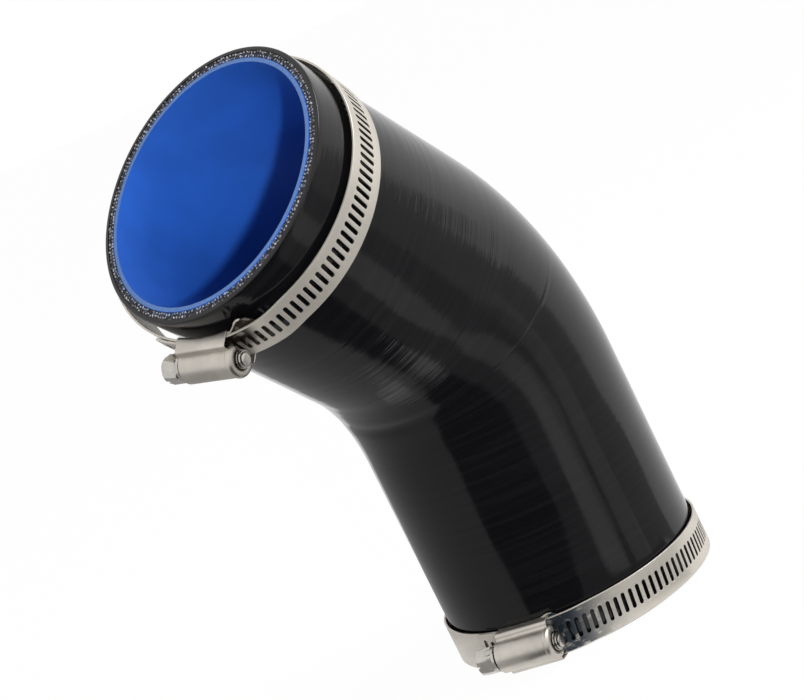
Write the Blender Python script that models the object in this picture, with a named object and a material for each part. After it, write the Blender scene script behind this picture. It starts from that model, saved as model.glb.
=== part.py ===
"""Silicone elbow hose, 45 degrees, with two worm drive hose clamps.

The hose stands on its lower end. The bend lies in the XZ plane and leans the
upper leg toward -X. Each clamp has a slotted band, a pressed housing and a
worm screw whose thread sits in the slots of the band's tail.
"""

import math

import bmesh
import bpy
from mathutils import Matrix, Vector

MM = 0.001

# Hose
BORE_DIAMETER = 76.0 * MM
LINER_THICKNESS = 1.3 * MM
PLY_THICKNESS = 2.2 * MM
COVER_THICKNESS = 1.3 * MM
BOND_GAP = 0.1 * MM
BEND_ANGLE = math.radians(45.0)
BEND_RADIUS = 76.0 * MM
UPPER_LEG = 74.3 * MM
LOWER_LEG = 72.6 * MM
END_ROUNDING = 0.5 * MM
HOSE_SEGMENTS = 48
BEND_STEPS = 10

# Clamps
BAND_WIDTH = 12.7 * MM
BAND_THICKNESS = 0.7 * MM
BAND_LAP_GAP = 0.15 * MM
BAND_STEP = math.radians(6.0)
BASE_LAP = math.radians(16.5)
TAIL_LAP = math.radians(23.0)
TAIL_LIFT = 1.2 * MM
TAIL_TIP_WIDTH = 6.4 * MM
SLOT_PITCH = 3.175 * MM
SLOT_WIDTH = 1.6 * MM
SLOT_LENGTH = 8.0 * MM
SLOT_COUNT = 42
SLOTS_PAST_SCREW = 4

# Housing
HOUSING_LENGTH = 18.0 * MM
HOUSING_WALL = 0.5 * MM
HOUSING_GAP = 0.15 * MM
BARREL_WALL = 0.7 * MM
BARREL_SEGMENTS = 10
SHOULDER_HEIGHT = 4.0 * MM
LIP_FLARE = 0.55 * MM

# Screw
THREAD_RADIUS = 4.1 * MM
THREAD_HEIGHT = 1.0 * MM
THREAD_BITE = 0.65 * MM
THREAD_CREST = 0.8 * MM
THREAD_FOOT = 1.5 * MM
THREAD_TURNS = 6
THREAD_CLEARANCE = 0.2 * MM
SCREW_SEGMENTS = 18
HEAD_ACROSS_FLATS = 7.0 * MM
HEAD_LENGTH = 5.7 * MM
HEAD_SLOT_DEPTH = 1.3 * MM
COLLAR_RADIUS = 3.9 * MM
COLLAR_LENGTH = 1.7 * MM

# Where each clamp sits: distance from the leg's end, slack round the hose,
# place of the screw round the leg, tilt of the loop and shift of its centre
UPPER_CLAMP_SETBACK = 14.15 * MM
UPPER_CLAMP_SLACK = 1.55 * MM
UPPER_CLAMP_ANGLE = math.radians(186.8)
UPPER_CLAMP_TILT = math.radians(5.3)
UPPER_CLAMP_DROP = 0.65 * MM
UPPER_CLAMP_SHIFT = 0.4 * MM
LOWER_CLAMP_SLACK = 0.8 * MM
LOWER_CLAMP_ANGLE = math.radians(171.5)
FLOOR_CLEARANCE = 0.1 * MM

# Sizes that follow from the ones above
LINER_INNER = BORE_DIAMETER / 2
LINER_OUTER = LINER_INNER + LINER_THICKNESS
PLY_INNER = LINER_OUTER + BOND_GAP
PLY_OUTER = PLY_INNER + PLY_THICKNESS
COVER_INNER = PLY_OUTER + BOND_GAP
COVER_OUTER = COVER_INNER + COVER_THICKNESS
BEND_LENGTH = BEND_RADIUS * BEND_ANGLE
HOSE_LENGTH = LOWER_LEG + BEND_LENGTH + UPPER_LEG
LAP_RISE = BAND_THICKNESS + BAND_LAP_GAP
HOUSING_HALF_WIDTH = BAND_WIDTH / 2 + HOUSING_GAP + HOUSING_WALL
LOWER_CLAMP_SETBACK = HOUSING_HALF_WIDTH + FLOOR_CLEARANCE
SCREW_HEIGHT = LAP_RISE + BAND_THICKNESS + THREAD_RADIUS - THREAD_BITE
BARREL_INNER = THREAD_RADIUS + THREAD_CLEARANCE
BARREL_OUTER = BARREL_INNER + BARREL_WALL
THREAD_ROOT = THREAD_RADIUS - THREAD_HEIGHT
SLOT_SLANT = SLOT_PITCH / (2 * math.pi * (THREAD_RADIUS - THREAD_HEIGHT / 2))


def clear_scene():
    for item in list(bpy.data.objects):
        bpy.data.objects.remove(item, do_unlink=True)


def make_material(name, colour, metallic, roughness):
    material = bpy.data.materials.new(name)
    material.use_nodes = True
    shader = material.node_tree.nodes["Principled BSDF"]
    shader.inputs["Base Color"].default_value = (*colour, 1.0)
    shader.inputs["Metallic"].default_value = metallic
    shader.inputs["Roughness"].default_value = roughness
    return material


def make_empty(name, parent, matrix):
    empty = bpy.data.objects.new(name, None)
    empty.empty_display_size = 0.02
    bpy.context.scene.collection.objects.link(empty)
    empty.parent = parent
    empty.matrix_local = matrix
    return empty


def make_object(name, points, faces, material, parent, sharp_angle):
    mesh = bpy.data.meshes.new(name)
    mesh.from_pydata([tuple(point) for point in points], [], faces)
    mesh.materials.append(material)
    shape = bmesh.new()
    shape.from_mesh(mesh)
    bmesh.ops.recalc_face_normals(shape, faces=shape.faces)
    shape.to_mesh(mesh)
    shape.free()
    mesh.shade_smooth()
    mesh.set_sharp_from_angle(angle=math.radians(sharp_angle))
    part = bpy.data.objects.new(name, mesh)
    bpy.context.scene.collection.objects.link(part)
    part.parent = parent
    return part


def frame_matrix(x_axis, y_axis, z_axis, place):
    matrix = Matrix((x_axis, y_axis, z_axis)).transposed().to_4x4()
    matrix.translation = place
    return matrix


def hose_station(distance):
    """Centre of the hose and its two cross axes, at a distance from the foot."""
    turn = min(max((distance - LOWER_LEG) / BEND_RADIUS, 0.0), BEND_ANGLE)
    past = max(distance - LOWER_LEG - BEND_LENGTH, 0.0)
    along = Vector((-math.sin(turn), 0.0, math.cos(turn)))
    outward = Vector((math.cos(turn), 0.0, math.sin(turn)))
    centre = Vector((-BEND_RADIUS, 0.0, LOWER_LEG)) + outward * BEND_RADIUS + along * past
    if distance < LOWER_LEG:
        centre = Vector((0.0, 0.0, distance))
    return centre, outward, Vector((0.0, -1.0, 0.0))


def hose_ring(distance, radius):
    centre, outward, sideways = hose_station(distance)
    ring = []
    for index in range(HOSE_SEGMENTS):
        angle = 2 * math.pi * index / HOSE_SEGMENTS
        ring.append(centre + (outward * math.cos(angle) + sideways * math.sin(angle)) * radius)
    return ring


def loft_faces(ring_count, ring_size, wrap):
    faces = []
    for row in range(ring_count if wrap else ring_count - 1):
        after = (row + 1) % ring_count
        for index in range(ring_size):
            side = (index + 1) % ring_size
            faces.append((
                row * ring_size + index,
                row * ring_size + side,
                after * ring_size + side,
                after * ring_size + index,
            ))
    return faces


def make_hose_layer(name, inner, outer, rounding, material, parent):
    """One layer of the hose: its wall's section, carried along the bent centre line."""
    bend = [LOWER_LEG + BEND_LENGTH * step / BEND_STEPS for step in range(BEND_STEPS + 1)]
    section = [(0.0, outer - rounding), (rounding, outer)] if rounding else [(0.0, outer)]
    section += [(distance, outer) for distance in bend]
    if rounding:
        section += [(HOSE_LENGTH - rounding, outer)]
    section += [(HOSE_LENGTH, outer - rounding), (HOSE_LENGTH, inner)]
    section += [(distance, inner) for distance in reversed(bend)]
    section += [(0.0, inner)]
    points = []
    for distance, radius in section:
        points += hose_ring(distance, radius)
    faces = loft_faces(len(section), HOSE_SEGMENTS, True)
    return make_object(name, points, faces, material, parent, 35.0)


def smooth_rise(value):
    value = min(max(value, 0.0), 1.0)
    return value * value * (3.0 - 2.0 * value)


class ClampSizes:
    """The radii and angles of one clamp, counted from the middle of its screw."""

    def __init__(self, slack, angle):
        self.inner = COVER_OUTER + slack
        self.angle = angle
        self.screw = self.inner + SCREW_HEIGHT
        self.pitch = SLOT_PITCH / (self.inner + LAP_RISE + BAND_THICKNESS / 2)
        self.full = 2 * math.pi
        self.slots_end = self.full + (SLOTS_PAST_SCREW + 0.5) * self.pitch
        self.slots_start = self.slots_end - SLOT_COUNT * self.pitch
        self.tip = max(self.full + TAIL_LAP, self.slots_end + self.pitch)

    def radius(self, turn):
        rise_end = self.full - BASE_LAP - BAND_STEP / 3
        rise = LAP_RISE * smooth_rise((turn - rise_end) / (2 * BAND_STEP) + 1.0)
        mouth = self.full + HOUSING_LENGTH / 2 / self.inner
        lift = TAIL_LIFT * (max(turn - mouth, 0.0) / (self.tip - mouth)) ** 2
        return self.inner + rise + lift

    def point(self, turn, across, height):
        reach = self.radius(turn) + height
        return Vector((
            reach * math.cos(self.angle + turn),
            reach * math.sin(self.angle + turn),
            across,
        ))


def band_column(sizes, turn, half_width, slant):
    """Four corners of the strip at one place: two under it and two on top."""
    corners = []
    for across, height in ((-1, 0.0), (-1, BAND_THICKNESS), (1, BAND_THICKNESS), (1, 0.0)):
        lean = across * half_width * slant / sizes.inner
        corners.append(sizes.point(turn + lean, across * half_width, height))
    return corners


def slot_outline(sizes, turn, height):
    """Eight points round one slot, which leans as the thread does."""
    wide = SLOT_WIDTH / 2
    long = SLOT_LENGTH / 2
    straight = long - wide * 0.7
    outline = []
    for along, across in (
        (-1.0, -straight), (-0.45, -long), (0.45, -long), (1.0, -straight),
        (1.0, straight), (0.45, long), (-0.45, long), (-1.0, straight),
    ):
        lean = (along * wide + across * SLOT_SLANT) / sizes.inner
        outline.append(sizes.point(turn + lean, across, height))
    return outline


def slot_cell_faces(left, right, first):
    """Faces round one slot: left and right are the columns either side of it."""
    under = list(range(first, first + 8))
    over = list(range(first + 8, first + 16))
    faces = []
    for loop, low, high in ((under, 0, 3), (over, 1, 2)):
        faces.append((left + low, left + high, loop[7], loop[0]))
        faces.append((right + high, right + low, loop[3], loop[4]))
        faces.append((right + low, left + low, loop[0], loop[1], loop[2], loop[3]))
        faces.append((left + high, right + high, loop[4], loop[5], loop[6], loop[7]))
    for index in range(8):
        after = (index + 1) % 8
        faces.append((under[index], under[after], over[after], over[index]))
    return faces


def make_band(name, sizes, material, parent):
    """The whole strip: lapped under the screw, plain, then slotted to its tail."""
    plain = sizes.slots_start + BASE_LAP
    count = max(int(round(plain / BAND_STEP)), 2)
    columns = [(-BASE_LAP, BAND_WIDTH / 2, 0.0)]
    for index in range(1, count + 1):
        columns.append((-BASE_LAP + plain * index / count, BAND_WIDTH / 2, SLOT_SLANT))
    slots = []
    for index in range(SLOT_COUNT):
        slots.append((len(columns) - 1, sizes.slots_start + (index + 0.5) * sizes.pitch))
        turn = sizes.slots_start + (index + 1) * sizes.pitch
        columns.append((turn, BAND_WIDTH / 2, SLOT_SLANT))
    columns.append((sizes.tip, TAIL_TIP_WIDTH / 2, 0.0))
    points = []
    for turn, half_width, slant in columns:
        points += band_column(sizes, turn, half_width, slant)
    slotted = {left: turn for left, turn in slots}
    faces = [(0, 1, 2, 3), tuple(len(points) - 4 + corner for corner in range(4))]
    for left in range(len(columns) - 1):
        here, there = left * 4, left * 4 + 4
        faces.append((here, here + 1, there + 1, there))
        faces.append((here + 2, here + 3, there + 3, there + 2))
        if left in slotted:
            first = len(points)
            points += slot_outline(sizes, slotted[left], 0.0)
            points += slot_outline(sizes, slotted[left], BAND_THICKNESS)
            faces += slot_cell_faces(here, there, first)
        else:
            faces.append((here + 1, here + 2, there + 2, there + 1))
            faces.append((here + 3, here, there, there + 3))
    return make_object(name, points, faces, material, parent, 30.0)


def housing_section(sizes, place, flare):
    """Outer and inner outline of the housing, as (across, height) pairs."""
    plate_low = sizes.inner - HOUSING_GAP - HOUSING_WALL
    floor_low = math.sqrt(plate_low ** 2 - place ** 2)
    floor_high = math.sqrt((plate_low + HOUSING_WALL) ** 2 - place ** 2)
    shoulder = sizes.inner + SHOULDER_HEIGHT
    loops = []
    for shrink, floor, barrel in (
        (0.0, floor_low, BARREL_OUTER + flare),
        (HOUSING_WALL, floor_high, BARREL_INNER + flare),
    ):
        half = HOUSING_HALF_WIDTH - shrink
        top = shoulder - shrink
        foot = math.asin(max(min((top - sizes.screw) / barrel, 1.0), -1.0))
        loop = [(-half, floor), (0.0, floor), (half, floor), (half, top - 0.6 * MM)]
        loop.append((half - 0.6 * MM, top))
        for index in range(BARREL_SEGMENTS + 1):
            angle = foot + (math.pi - 2 * foot) * index / BARREL_SEGMENTS
            loop.append((barrel * math.cos(angle), sizes.screw + barrel * math.sin(angle)))
        loop += [(0.6 * MM - half, top), (-half, top - 0.6 * MM)]
        loops.append(loop)
    return loops


def make_housing(name, sizes, material, parent):
    """The pressed housing: a folded box round both laps of band, with a barrel on top."""
    half = HOUSING_LENGTH / 2
    stations = [(-half, 0.7 * LIP_FLARE), (-half + 0.5 * MM, LIP_FLARE)]
    stations += [(-half + 1.1 * MM, 0.5 * LIP_FLARE), (-half + 1.9 * MM, 0.0)]
    steps = 5
    for index in range(1, steps + 1):
        start = -half + 1.9 * MM
        stations.append((start + (half - start) * index / steps, 0.0))
    radial = Vector((math.cos(sizes.angle), math.sin(sizes.angle), 0.0))
    tangent = Vector((-math.sin(sizes.angle), math.cos(sizes.angle), 0.0))
    rings = ([], [])
    for place, flare in stations:
        for rows, loop in zip(rings, housing_section(sizes, place, flare)):
            ring = []
            for across, height in loop:
                spot = radial * height + tangent * place + Vector((0.0, 0.0, across))
                ring.append(spot)
            rows.append(ring)
    sequence = rings[0] + rings[1][::-1]
    points = [point for ring in sequence for point in ring]
    faces = loft_faces(len(sequence), len(sequence[0]), True)
    return make_object(name, points, faces, material, parent, 30.0)


def screw_ring(place, reach):
    """A ring of points round the screw's axis; reach gives the radius at each angle."""
    ring = []
    for index in range(SCREW_SEGMENTS):
        angle = 2 * math.pi * (index + 0.5) / SCREW_SEGMENTS
        radius = reach(angle) if callable(reach) else reach
        ring.append(Vector((radius * math.cos(angle), radius * math.sin(angle), place)))
    return ring


def hexagon_reach(limit):
    """Radius of a hexagon at each angle, cut back to a limit for the chamfer."""
    def reach(angle):
        aside = (angle % (math.pi / 3)) - math.pi / 6
        return min(HEAD_ACROSS_FLATS / 2 / math.cos(math.pi / 6 - abs(aside)), limit)
    return reach


def thread_rows(start):
    """Rows of four points up the thread: foot, crest, crest, foot."""
    rows = []
    for index in range(THREAD_TURNS * SCREW_SEGMENTS + 1):
        angle = 2 * math.pi * (index + 0.5) / SCREW_SEGMENTS
        middle = start + SLOT_PITCH * index / SCREW_SEGMENTS
        ends = min(index, THREAD_TURNS * SCREW_SEGMENTS - index)
        crest = THREAD_ROOT + THREAD_HEIGHT * (0.35 + 0.65 * smooth_rise(ends / 9))
        row = []
        for offset, radius in (
            (-THREAD_FOOT / 2, THREAD_ROOT), (-THREAD_CREST / 2, crest),
            (THREAD_CREST / 2, crest), (THREAD_FOOT / 2, THREAD_ROOT),
        ):
            spot = (radius * math.cos(angle), radius * math.sin(angle), middle + offset)
            row.append(Vector(spot))
        rows.append(row)
    return rows


def thread_faces(first, lower_ring, upper_ring):
    """Thread, the root between its turns, and the joins to the plain rings."""
    size = SCREW_SEGMENTS
    last = THREAD_TURNS * size

    def at(row, corner):
        return first + row * 4 + corner

    faces = [tuple(at(0, corner) for corner in range(4))]
    faces.append(tuple(at(last, corner) for corner in range(4)))
    for row in range(last):
        for corner in range(3):
            faces.append((
                at(row, corner), at(row + 1, corner),
                at(row + 1, corner + 1), at(row, corner + 1),
            ))
    for row in range(last - size):
        faces.append((at(row, 3), at(row + 1, 3), at(row + size + 1, 0), at(row + size, 0)))
    for index in range(size - 1):
        faces.append((lower_ring + index, lower_ring + index + 1, at(index + 1, 0), at(index, 0)))
        above = last - size + index + 1
        faces.append((
            at(above, 3), at(above + 1, 3),
            upper_ring + (index + 2) % size, upper_ring + index + 1,
        ))
    faces.append((
        lower_ring + size - 1, lower_ring, at(0, 0), at(0, 3), at(size, 0), at(size - 1, 0),
    ))
    faces.append((
        at(last - size, 3), at(last - size + 1, 3), upper_ring + 1, upper_ring,
        at(last, 3), at(last, 0),
    ))
    return faces


def make_screw(name, sizes, material, parent):
    """Worm screw along local Z: nose, thread, neck, collar and slotted hexagon head."""
    half = HOUSING_LENGTH / 2
    start = -(THREAD_TURNS // 2 + 0.5 - 0.5 / SCREW_SEGMENTS) * SLOT_PITCH
    bottom = start - THREAD_FOOT / 2 - 0.2 * MM
    top = start + THREAD_TURNS * SLOT_PITCH + THREAD_FOOT / 2 + 0.2 * MM
    collar = max(half, top) + 0.3 * MM
    hexagon = collar + COLLAR_LENGTH
    end = hexagon + HEAD_LENGTH
    corner = HEAD_ACROSS_FLATS / math.sqrt(3.0)
    lower = [
        screw_ring(bottom - 0.7 * MM, THREAD_ROOT * 0.7),
        screw_ring(bottom - 0.3 * MM, THREAD_ROOT * 0.92),
        screw_ring(bottom, THREAD_ROOT),
    ]
    upper = [
        screw_ring(top, THREAD_ROOT),
        screw_ring(collar, THREAD_ROOT),
        screw_ring(collar, COLLAR_RADIUS - 0.2 * MM),
        screw_ring(collar + 0.2 * MM, COLLAR_RADIUS),
        screw_ring(hexagon, COLLAR_RADIUS),
        screw_ring(hexagon, hexagon_reach(COLLAR_RADIUS - 0.1 * MM)),
        screw_ring(hexagon + 0.3 * MM, hexagon_reach(corner)),
        screw_ring(end - HEAD_SLOT_DEPTH, hexagon_reach(corner)),
        screw_ring(end - 0.6 * MM, hexagon_reach(corner)),
        screw_ring(end, hexagon_reach(HEAD_ACROSS_FLATS / 2 - 0.1 * MM)),
    ]
    size = SCREW_SEGMENTS
    points = [point for ring in lower + upper for point in ring]
    first = len(points)
    for row in thread_rows(start):
        points += row
    faces = [tuple(range(size))]
    faces += loft_faces(len(lower), size, False)
    offset = len(lower) * size
    floor_row = len(upper) - 3
    for face in loft_faces(len(upper), size, False):
        row = face[0] // size
        column = face[0] % size
        if row >= floor_row and column in (size // 2 - 1, size - 1):
            continue
        faces.append(tuple(index + offset for index in face))
    faces += thread_faces(first, (len(lower) - 1) * size, offset)
    rows = [offset + (floor_row + step) * size for step in range(3)]
    faces += slotted_end(rows)
    screw = make_object(name, points, faces, material, parent, 30.0)
    radial = Vector((math.cos(sizes.angle), math.sin(sizes.angle), 0.0))
    tangent = Vector((-math.sin(sizes.angle), math.cos(sizes.angle), 0.0))
    screw.matrix_local = frame_matrix(
        radial, Vector((0.0, 0.0, -1.0)), tangent, radial * sizes.screw
    )
    return screw


def slotted_end(rows):
    """Close the head: two half ends, the slot's two walls and its floor."""
    floor, middle, end = rows
    size = SCREW_SEGMENTS
    half = size // 2
    faces = [tuple(end + index for index in range(half))]
    faces.append(tuple(end + half + index for index in range(half)))
    for near, far in ((0, half - 1), (half, size - 1)):
        faces.append((
            end + near, middle + near, floor + near, floor + far, middle + far, end + far,
        ))
    faces.append((floor, floor + half - 1, floor + half, floor + size - 1))
    return faces


def make_clamp(name, sizes, steel, screw_steel, parent):
    make_band(name + "_band", sizes, steel, parent)
    make_housing(name + "_housing", sizes, steel, parent)
    make_screw(name + "_screw", sizes, screw_steel, parent)


def clamp_place(distance, tilt, drop, shift):
    """Frame of a clamp: local Z runs toward the foot of the hose."""
    centre, outward, sideways = hose_station(distance)
    along = outward.cross(sideways)
    centre = centre - outward * drop - sideways * shift
    matrix = frame_matrix(outward, sideways, along, centre)
    return matrix @ Matrix.Rotation(tilt, 4, "X")


def centre_on_floor(root):
    """Move the whole hose so that its box stands on Z 0, centred on X and Y."""
    bpy.context.view_layer.update()
    low = Vector((math.inf, math.inf, math.inf))
    high = -low
    for item in bpy.data.objects:
        if item.type != "MESH":
            continue
        for vertex in item.data.vertices:
            spot = item.matrix_world @ vertex.co
            low = Vector(map(min, low, spot))
            high = Vector(map(max, high, spot))
    root.location = (-(low.x + high.x) / 2, -(low.y + high.y) / 2, -low.z)


def main():
    clear_scene()
    black = make_material("black_silicone", (0.012, 0.012, 0.014), 0.0, 0.28)
    fabric = make_material("reinforcing_fabric", (0.09, 0.09, 0.095), 0.0, 0.9)
    blue = make_material("blue_silicone", (0.018, 0.075, 0.36), 0.0, 0.35)
    steel = make_material("stainless_strip", (0.56, 0.54, 0.50), 1.0, 0.28)
    screw_steel = make_material("screw_steel", (0.60, 0.59, 0.56), 1.0, 0.22)
    root = make_empty("elbow_hose", None, Matrix.Identity(4))
    make_hose_layer("inner_liner", LINER_INNER, LINER_OUTER, 0.0, blue, root)
    make_hose_layer("fabric_plies", PLY_INNER, PLY_OUTER, 0.0, fabric, root)
    make_hose_layer("outer_cover", COVER_INNER, COVER_OUTER, END_ROUNDING, black, root)
    upper = make_empty("upper_clamp", root, clamp_place(
        HOSE_LENGTH - UPPER_CLAMP_SETBACK, UPPER_CLAMP_TILT,
        UPPER_CLAMP_DROP, UPPER_CLAMP_SHIFT,
    ))
    lower = make_empty("lower_clamp", root, clamp_place(LOWER_CLAMP_SETBACK, 0.0, 0.0, 0.0))
    upper_sizes = ClampSizes(UPPER_CLAMP_SLACK, UPPER_CLAMP_ANGLE)
    lower_sizes = ClampSizes(LOWER_CLAMP_SLACK, LOWER_CLAMP_ANGLE)
    make_clamp("upper_clamp", upper_sizes, steel, screw_steel, upper)
    make_clamp("lower_clamp", lower_sizes, steel, screw_steel, lower)
    centre_on_floor(root)


main()
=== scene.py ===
"""Finished surfaces of a silicone elbow hose with two worm drive clamps.

The layers of the hose are turned as straight tubes and then bent along the
elbow. The clamp strips are laid out flat, slot by slot, and rolled up. All
lengths are in metres, in the frame of the CAD model.
"""

import math

import bmesh
import bpy
from mathutils import Matrix, Vector


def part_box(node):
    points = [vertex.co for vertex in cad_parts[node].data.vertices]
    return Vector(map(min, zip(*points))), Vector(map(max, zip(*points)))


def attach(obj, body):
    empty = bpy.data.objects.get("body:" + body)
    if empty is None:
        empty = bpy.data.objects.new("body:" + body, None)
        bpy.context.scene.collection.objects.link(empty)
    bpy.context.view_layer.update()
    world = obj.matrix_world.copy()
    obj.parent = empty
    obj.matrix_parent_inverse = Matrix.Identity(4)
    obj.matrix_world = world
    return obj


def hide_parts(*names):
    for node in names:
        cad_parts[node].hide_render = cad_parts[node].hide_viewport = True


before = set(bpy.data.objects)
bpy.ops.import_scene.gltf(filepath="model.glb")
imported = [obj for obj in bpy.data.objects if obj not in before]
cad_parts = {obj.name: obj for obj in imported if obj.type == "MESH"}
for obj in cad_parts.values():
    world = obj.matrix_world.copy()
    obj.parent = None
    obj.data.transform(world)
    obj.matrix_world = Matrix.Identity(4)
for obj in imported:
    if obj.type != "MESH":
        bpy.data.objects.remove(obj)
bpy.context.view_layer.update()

bl_info = {
    "name": "Silicone elbow hose",
    "version": (1, 0, 0),
    "blender": (4, 5, 0),
    "location": "3D View > Sidebar > Elbow Hose",
    "description": "Builds a 45 degree silicone elbow hose with two worm drive clamps",
    "category": "Add Mesh",
}

MM = 0.001
BODY = "hose"
COVER_SIDES = 192
LINER_SIDES = 160
LINER_ROUNDING = 0.12 * MM
PLIES_ROUNDING = 0.05 * MM
COVER_RADIUS = 43.0 * MM
COVER_LOW, COVER_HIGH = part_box("outer_cover")
FOOT = Vector((COVER_HIGH.x - COVER_RADIUS, (COVER_LOW.y + COVER_HIGH.y) / 2, 0.0))


# Properties

def length_property(name, value, description):
    """A length in metres, given here in millimetres."""
    return bpy.props.FloatProperty(
        name=name, description=description, default=value * MM,
        min=0.0, precision=5, subtype="DISTANCE", unit="LENGTH",
    )


def angle_property(name, degrees, description):
    return bpy.props.FloatProperty(
        name=name, description=description, default=math.radians(degrees),
        precision=4, subtype="ANGLE", unit="ROTATION",
    )


def colour_property(name, code, description):
    return bpy.props.FloatVectorProperty(
        name=name, description=description, default=colour(code)[:3],
        min=0.0, max=1.0, size=3, subtype="COLOR",
    )


def colour(code):
    """Linear colour with alpha from an sRGB hex code."""
    channels = []
    for start in (1, 3, 5):
        value = int(code[start:start + 2], 16) / 255
        channels.append(value / 12.92 if value <= 0.04045 else ((value + 0.055) / 1.055) ** 2.4)
    return (*channels, 1.0)


class HoseSettings(bpy.types.PropertyGroup):
    """Sizes and colours of the rubber hose."""

    bore: length_property("Bore", 76.0, "Inner diameter of the hose")
    liner: length_property("Liner", 1.35, "Thickness of the blue inner layer")
    plies: length_property("Plies", 2.3, "Thickness of the woven reinforcement")
    cover: length_property("Cover", 1.35, "Thickness of the black outer layer")
    lower_leg: length_property("Lower Leg", 72.6, "Straight length below the bend")
    upper_leg: length_property("Upper Leg", 74.3, "Straight length above the bend")
    bend_radius: length_property("Bend Radius", 76.0, "Radius of the centre line")
    bend_angle: angle_property("Bend Angle", 45.0, "Turn of the elbow")
    rounding: length_property("End Rounding", 0.5, "Rounding of the cover's cut edge")
    seam: length_property("Seam Height", 0.16, "Height of the tape seam across the bend")
    ply_inset: length_property("Ply Inset", 0.3, "Depth of the fabric below the cut face")
    yarns: bpy.props.IntProperty(
        name="Yarn Ends", description="Yarn ends round each ply", default=216, min=10, max=400,
    )
    yarn_size: length_property("Yarn Size", 0.42, "Radius of a yarn end")
    cover_colour: colour_property("Cover Colour", "#08080A", "Black silicone")
    bore_colour: colour_property("Bore Colour", "#285FBF", "Blue silicone of the bore")
    cut_colour: colour_property("Cut Colour", "#5373A8", "Blue silicone where it is cut")
    yarn_colour: colour_property("Yarn Colour", "#A4A4AA", "Reinforcing yarn ends")


class ClampSettings(bpy.types.PropertyGroup):
    """Sizes and colours of both clamps."""

    width: length_property("Width", 12.7, "Width of the strip")
    thickness: length_property("Thickness", 0.7, "Thickness of the strip")
    lap_gap: length_property("Lap Gap", 0.15, "Gap between the two laps of the strip")
    pitch: length_property("Slot Pitch", 2.71, "Distance from slot to slot")
    slot_width: length_property("Slot Width", 1.35, "Width of a slot")
    slot_length: length_property("Slot Length", 6.4, "Length of a slot")
    slot_rim: length_property("Slot Rim", 0.22, "Width of the rolled rim of a slot")
    slots: bpy.props.IntProperty(
        name="Slots", description="Slots in each strip", default=49, min=8, max=60,
    )
    upper_slack: length_property("Upper Slack", 1.55, "Gap between upper strip and hose")
    lower_slack: length_property("Lower Slack", 0.8, "Gap between lower strip and hose")
    upper_angle: angle_property("Upper Angle", 186.8, "Place of the upper screw round the leg")
    lower_angle: angle_property("Lower Angle", 171.5, "Place of the lower screw round the leg")
    strip_colour: colour_property("Strip Colour", "#D2CCC2", "Stainless strip")
    housing_colour: colour_property("Housing Colour", "#CFC9C0", "Pressed stainless housing")
    screw_colour: colour_property("Screw Colour", "#C6C2BC", "Turned steel screw")


class StageSettings(bpy.types.PropertyGroup):
    """Floor, backdrop and lamps."""

    floor_colour: colour_property("Floor Colour", "#FBFBFB", "Pale floor")
    fill: bpy.props.FloatProperty(
        name="Fill", description="Strength of the light from all sides", default=0.55, min=0.0,
    )
    key: bpy.props.FloatProperty(
        name="Key", description="Power of the large lamp", default=9.0, min=0.0, unit="POWER",
    )
    mouth_lamp: bpy.props.FloatProperty(
        name="Mouth Lamp", description="Power of the small lamp that shines into the mouth",
        default=15.5, min=0.0, unit="POWER",
    )
    strips: bpy.props.FloatProperty(
        name="Strips", description="Power of the gridded strips beside the leg",
        default=0.00036, min=0.0, precision=6, unit="POWER",
    )
    floor_share: bpy.props.FloatProperty(
        name="Floor White", description="Share of plain white in what is seen of the floor",
        default=0.97, min=0.0, max=1.0,
    )


# Sizes that follow from the settings

def hose_settings():
    return bpy.context.scene.elbow_hose


def clamp_settings():
    return bpy.context.scene.elbow_clamps


def stage_settings():
    return bpy.context.scene.elbow_stage


def hose_length():
    sizes = hose_settings()
    return sizes.lower_leg + sizes.bend_radius * sizes.bend_angle + sizes.upper_leg


def hose_station(distance):
    """Centre line point and the two cross axes at a distance from the foot."""
    sizes = hose_settings()
    arc = sizes.bend_radius * sizes.bend_angle
    turn = min(max((distance - sizes.lower_leg) / sizes.bend_radius, 0.0), sizes.bend_angle)
    past = max(distance - sizes.lower_leg - arc, 0.0)
    along = Vector((-math.sin(turn), 0.0, math.cos(turn)))
    outward = Vector((math.cos(turn), 0.0, math.sin(turn)))
    bend_centre = Vector((-sizes.bend_radius, 0.0, sizes.lower_leg))
    centre = bend_centre + outward * sizes.bend_radius + along * past
    if distance < sizes.lower_leg:
        centre = Vector((0.0, 0.0, distance))
    return centre + FOOT, outward, Vector((0.0, -1.0, 0.0))


def axes_matrix(x_axis, y_axis, z_axis, place):
    matrix = Matrix((x_axis, y_axis, z_axis)).transposed().to_4x4()
    matrix.translation = place
    return matrix


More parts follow.
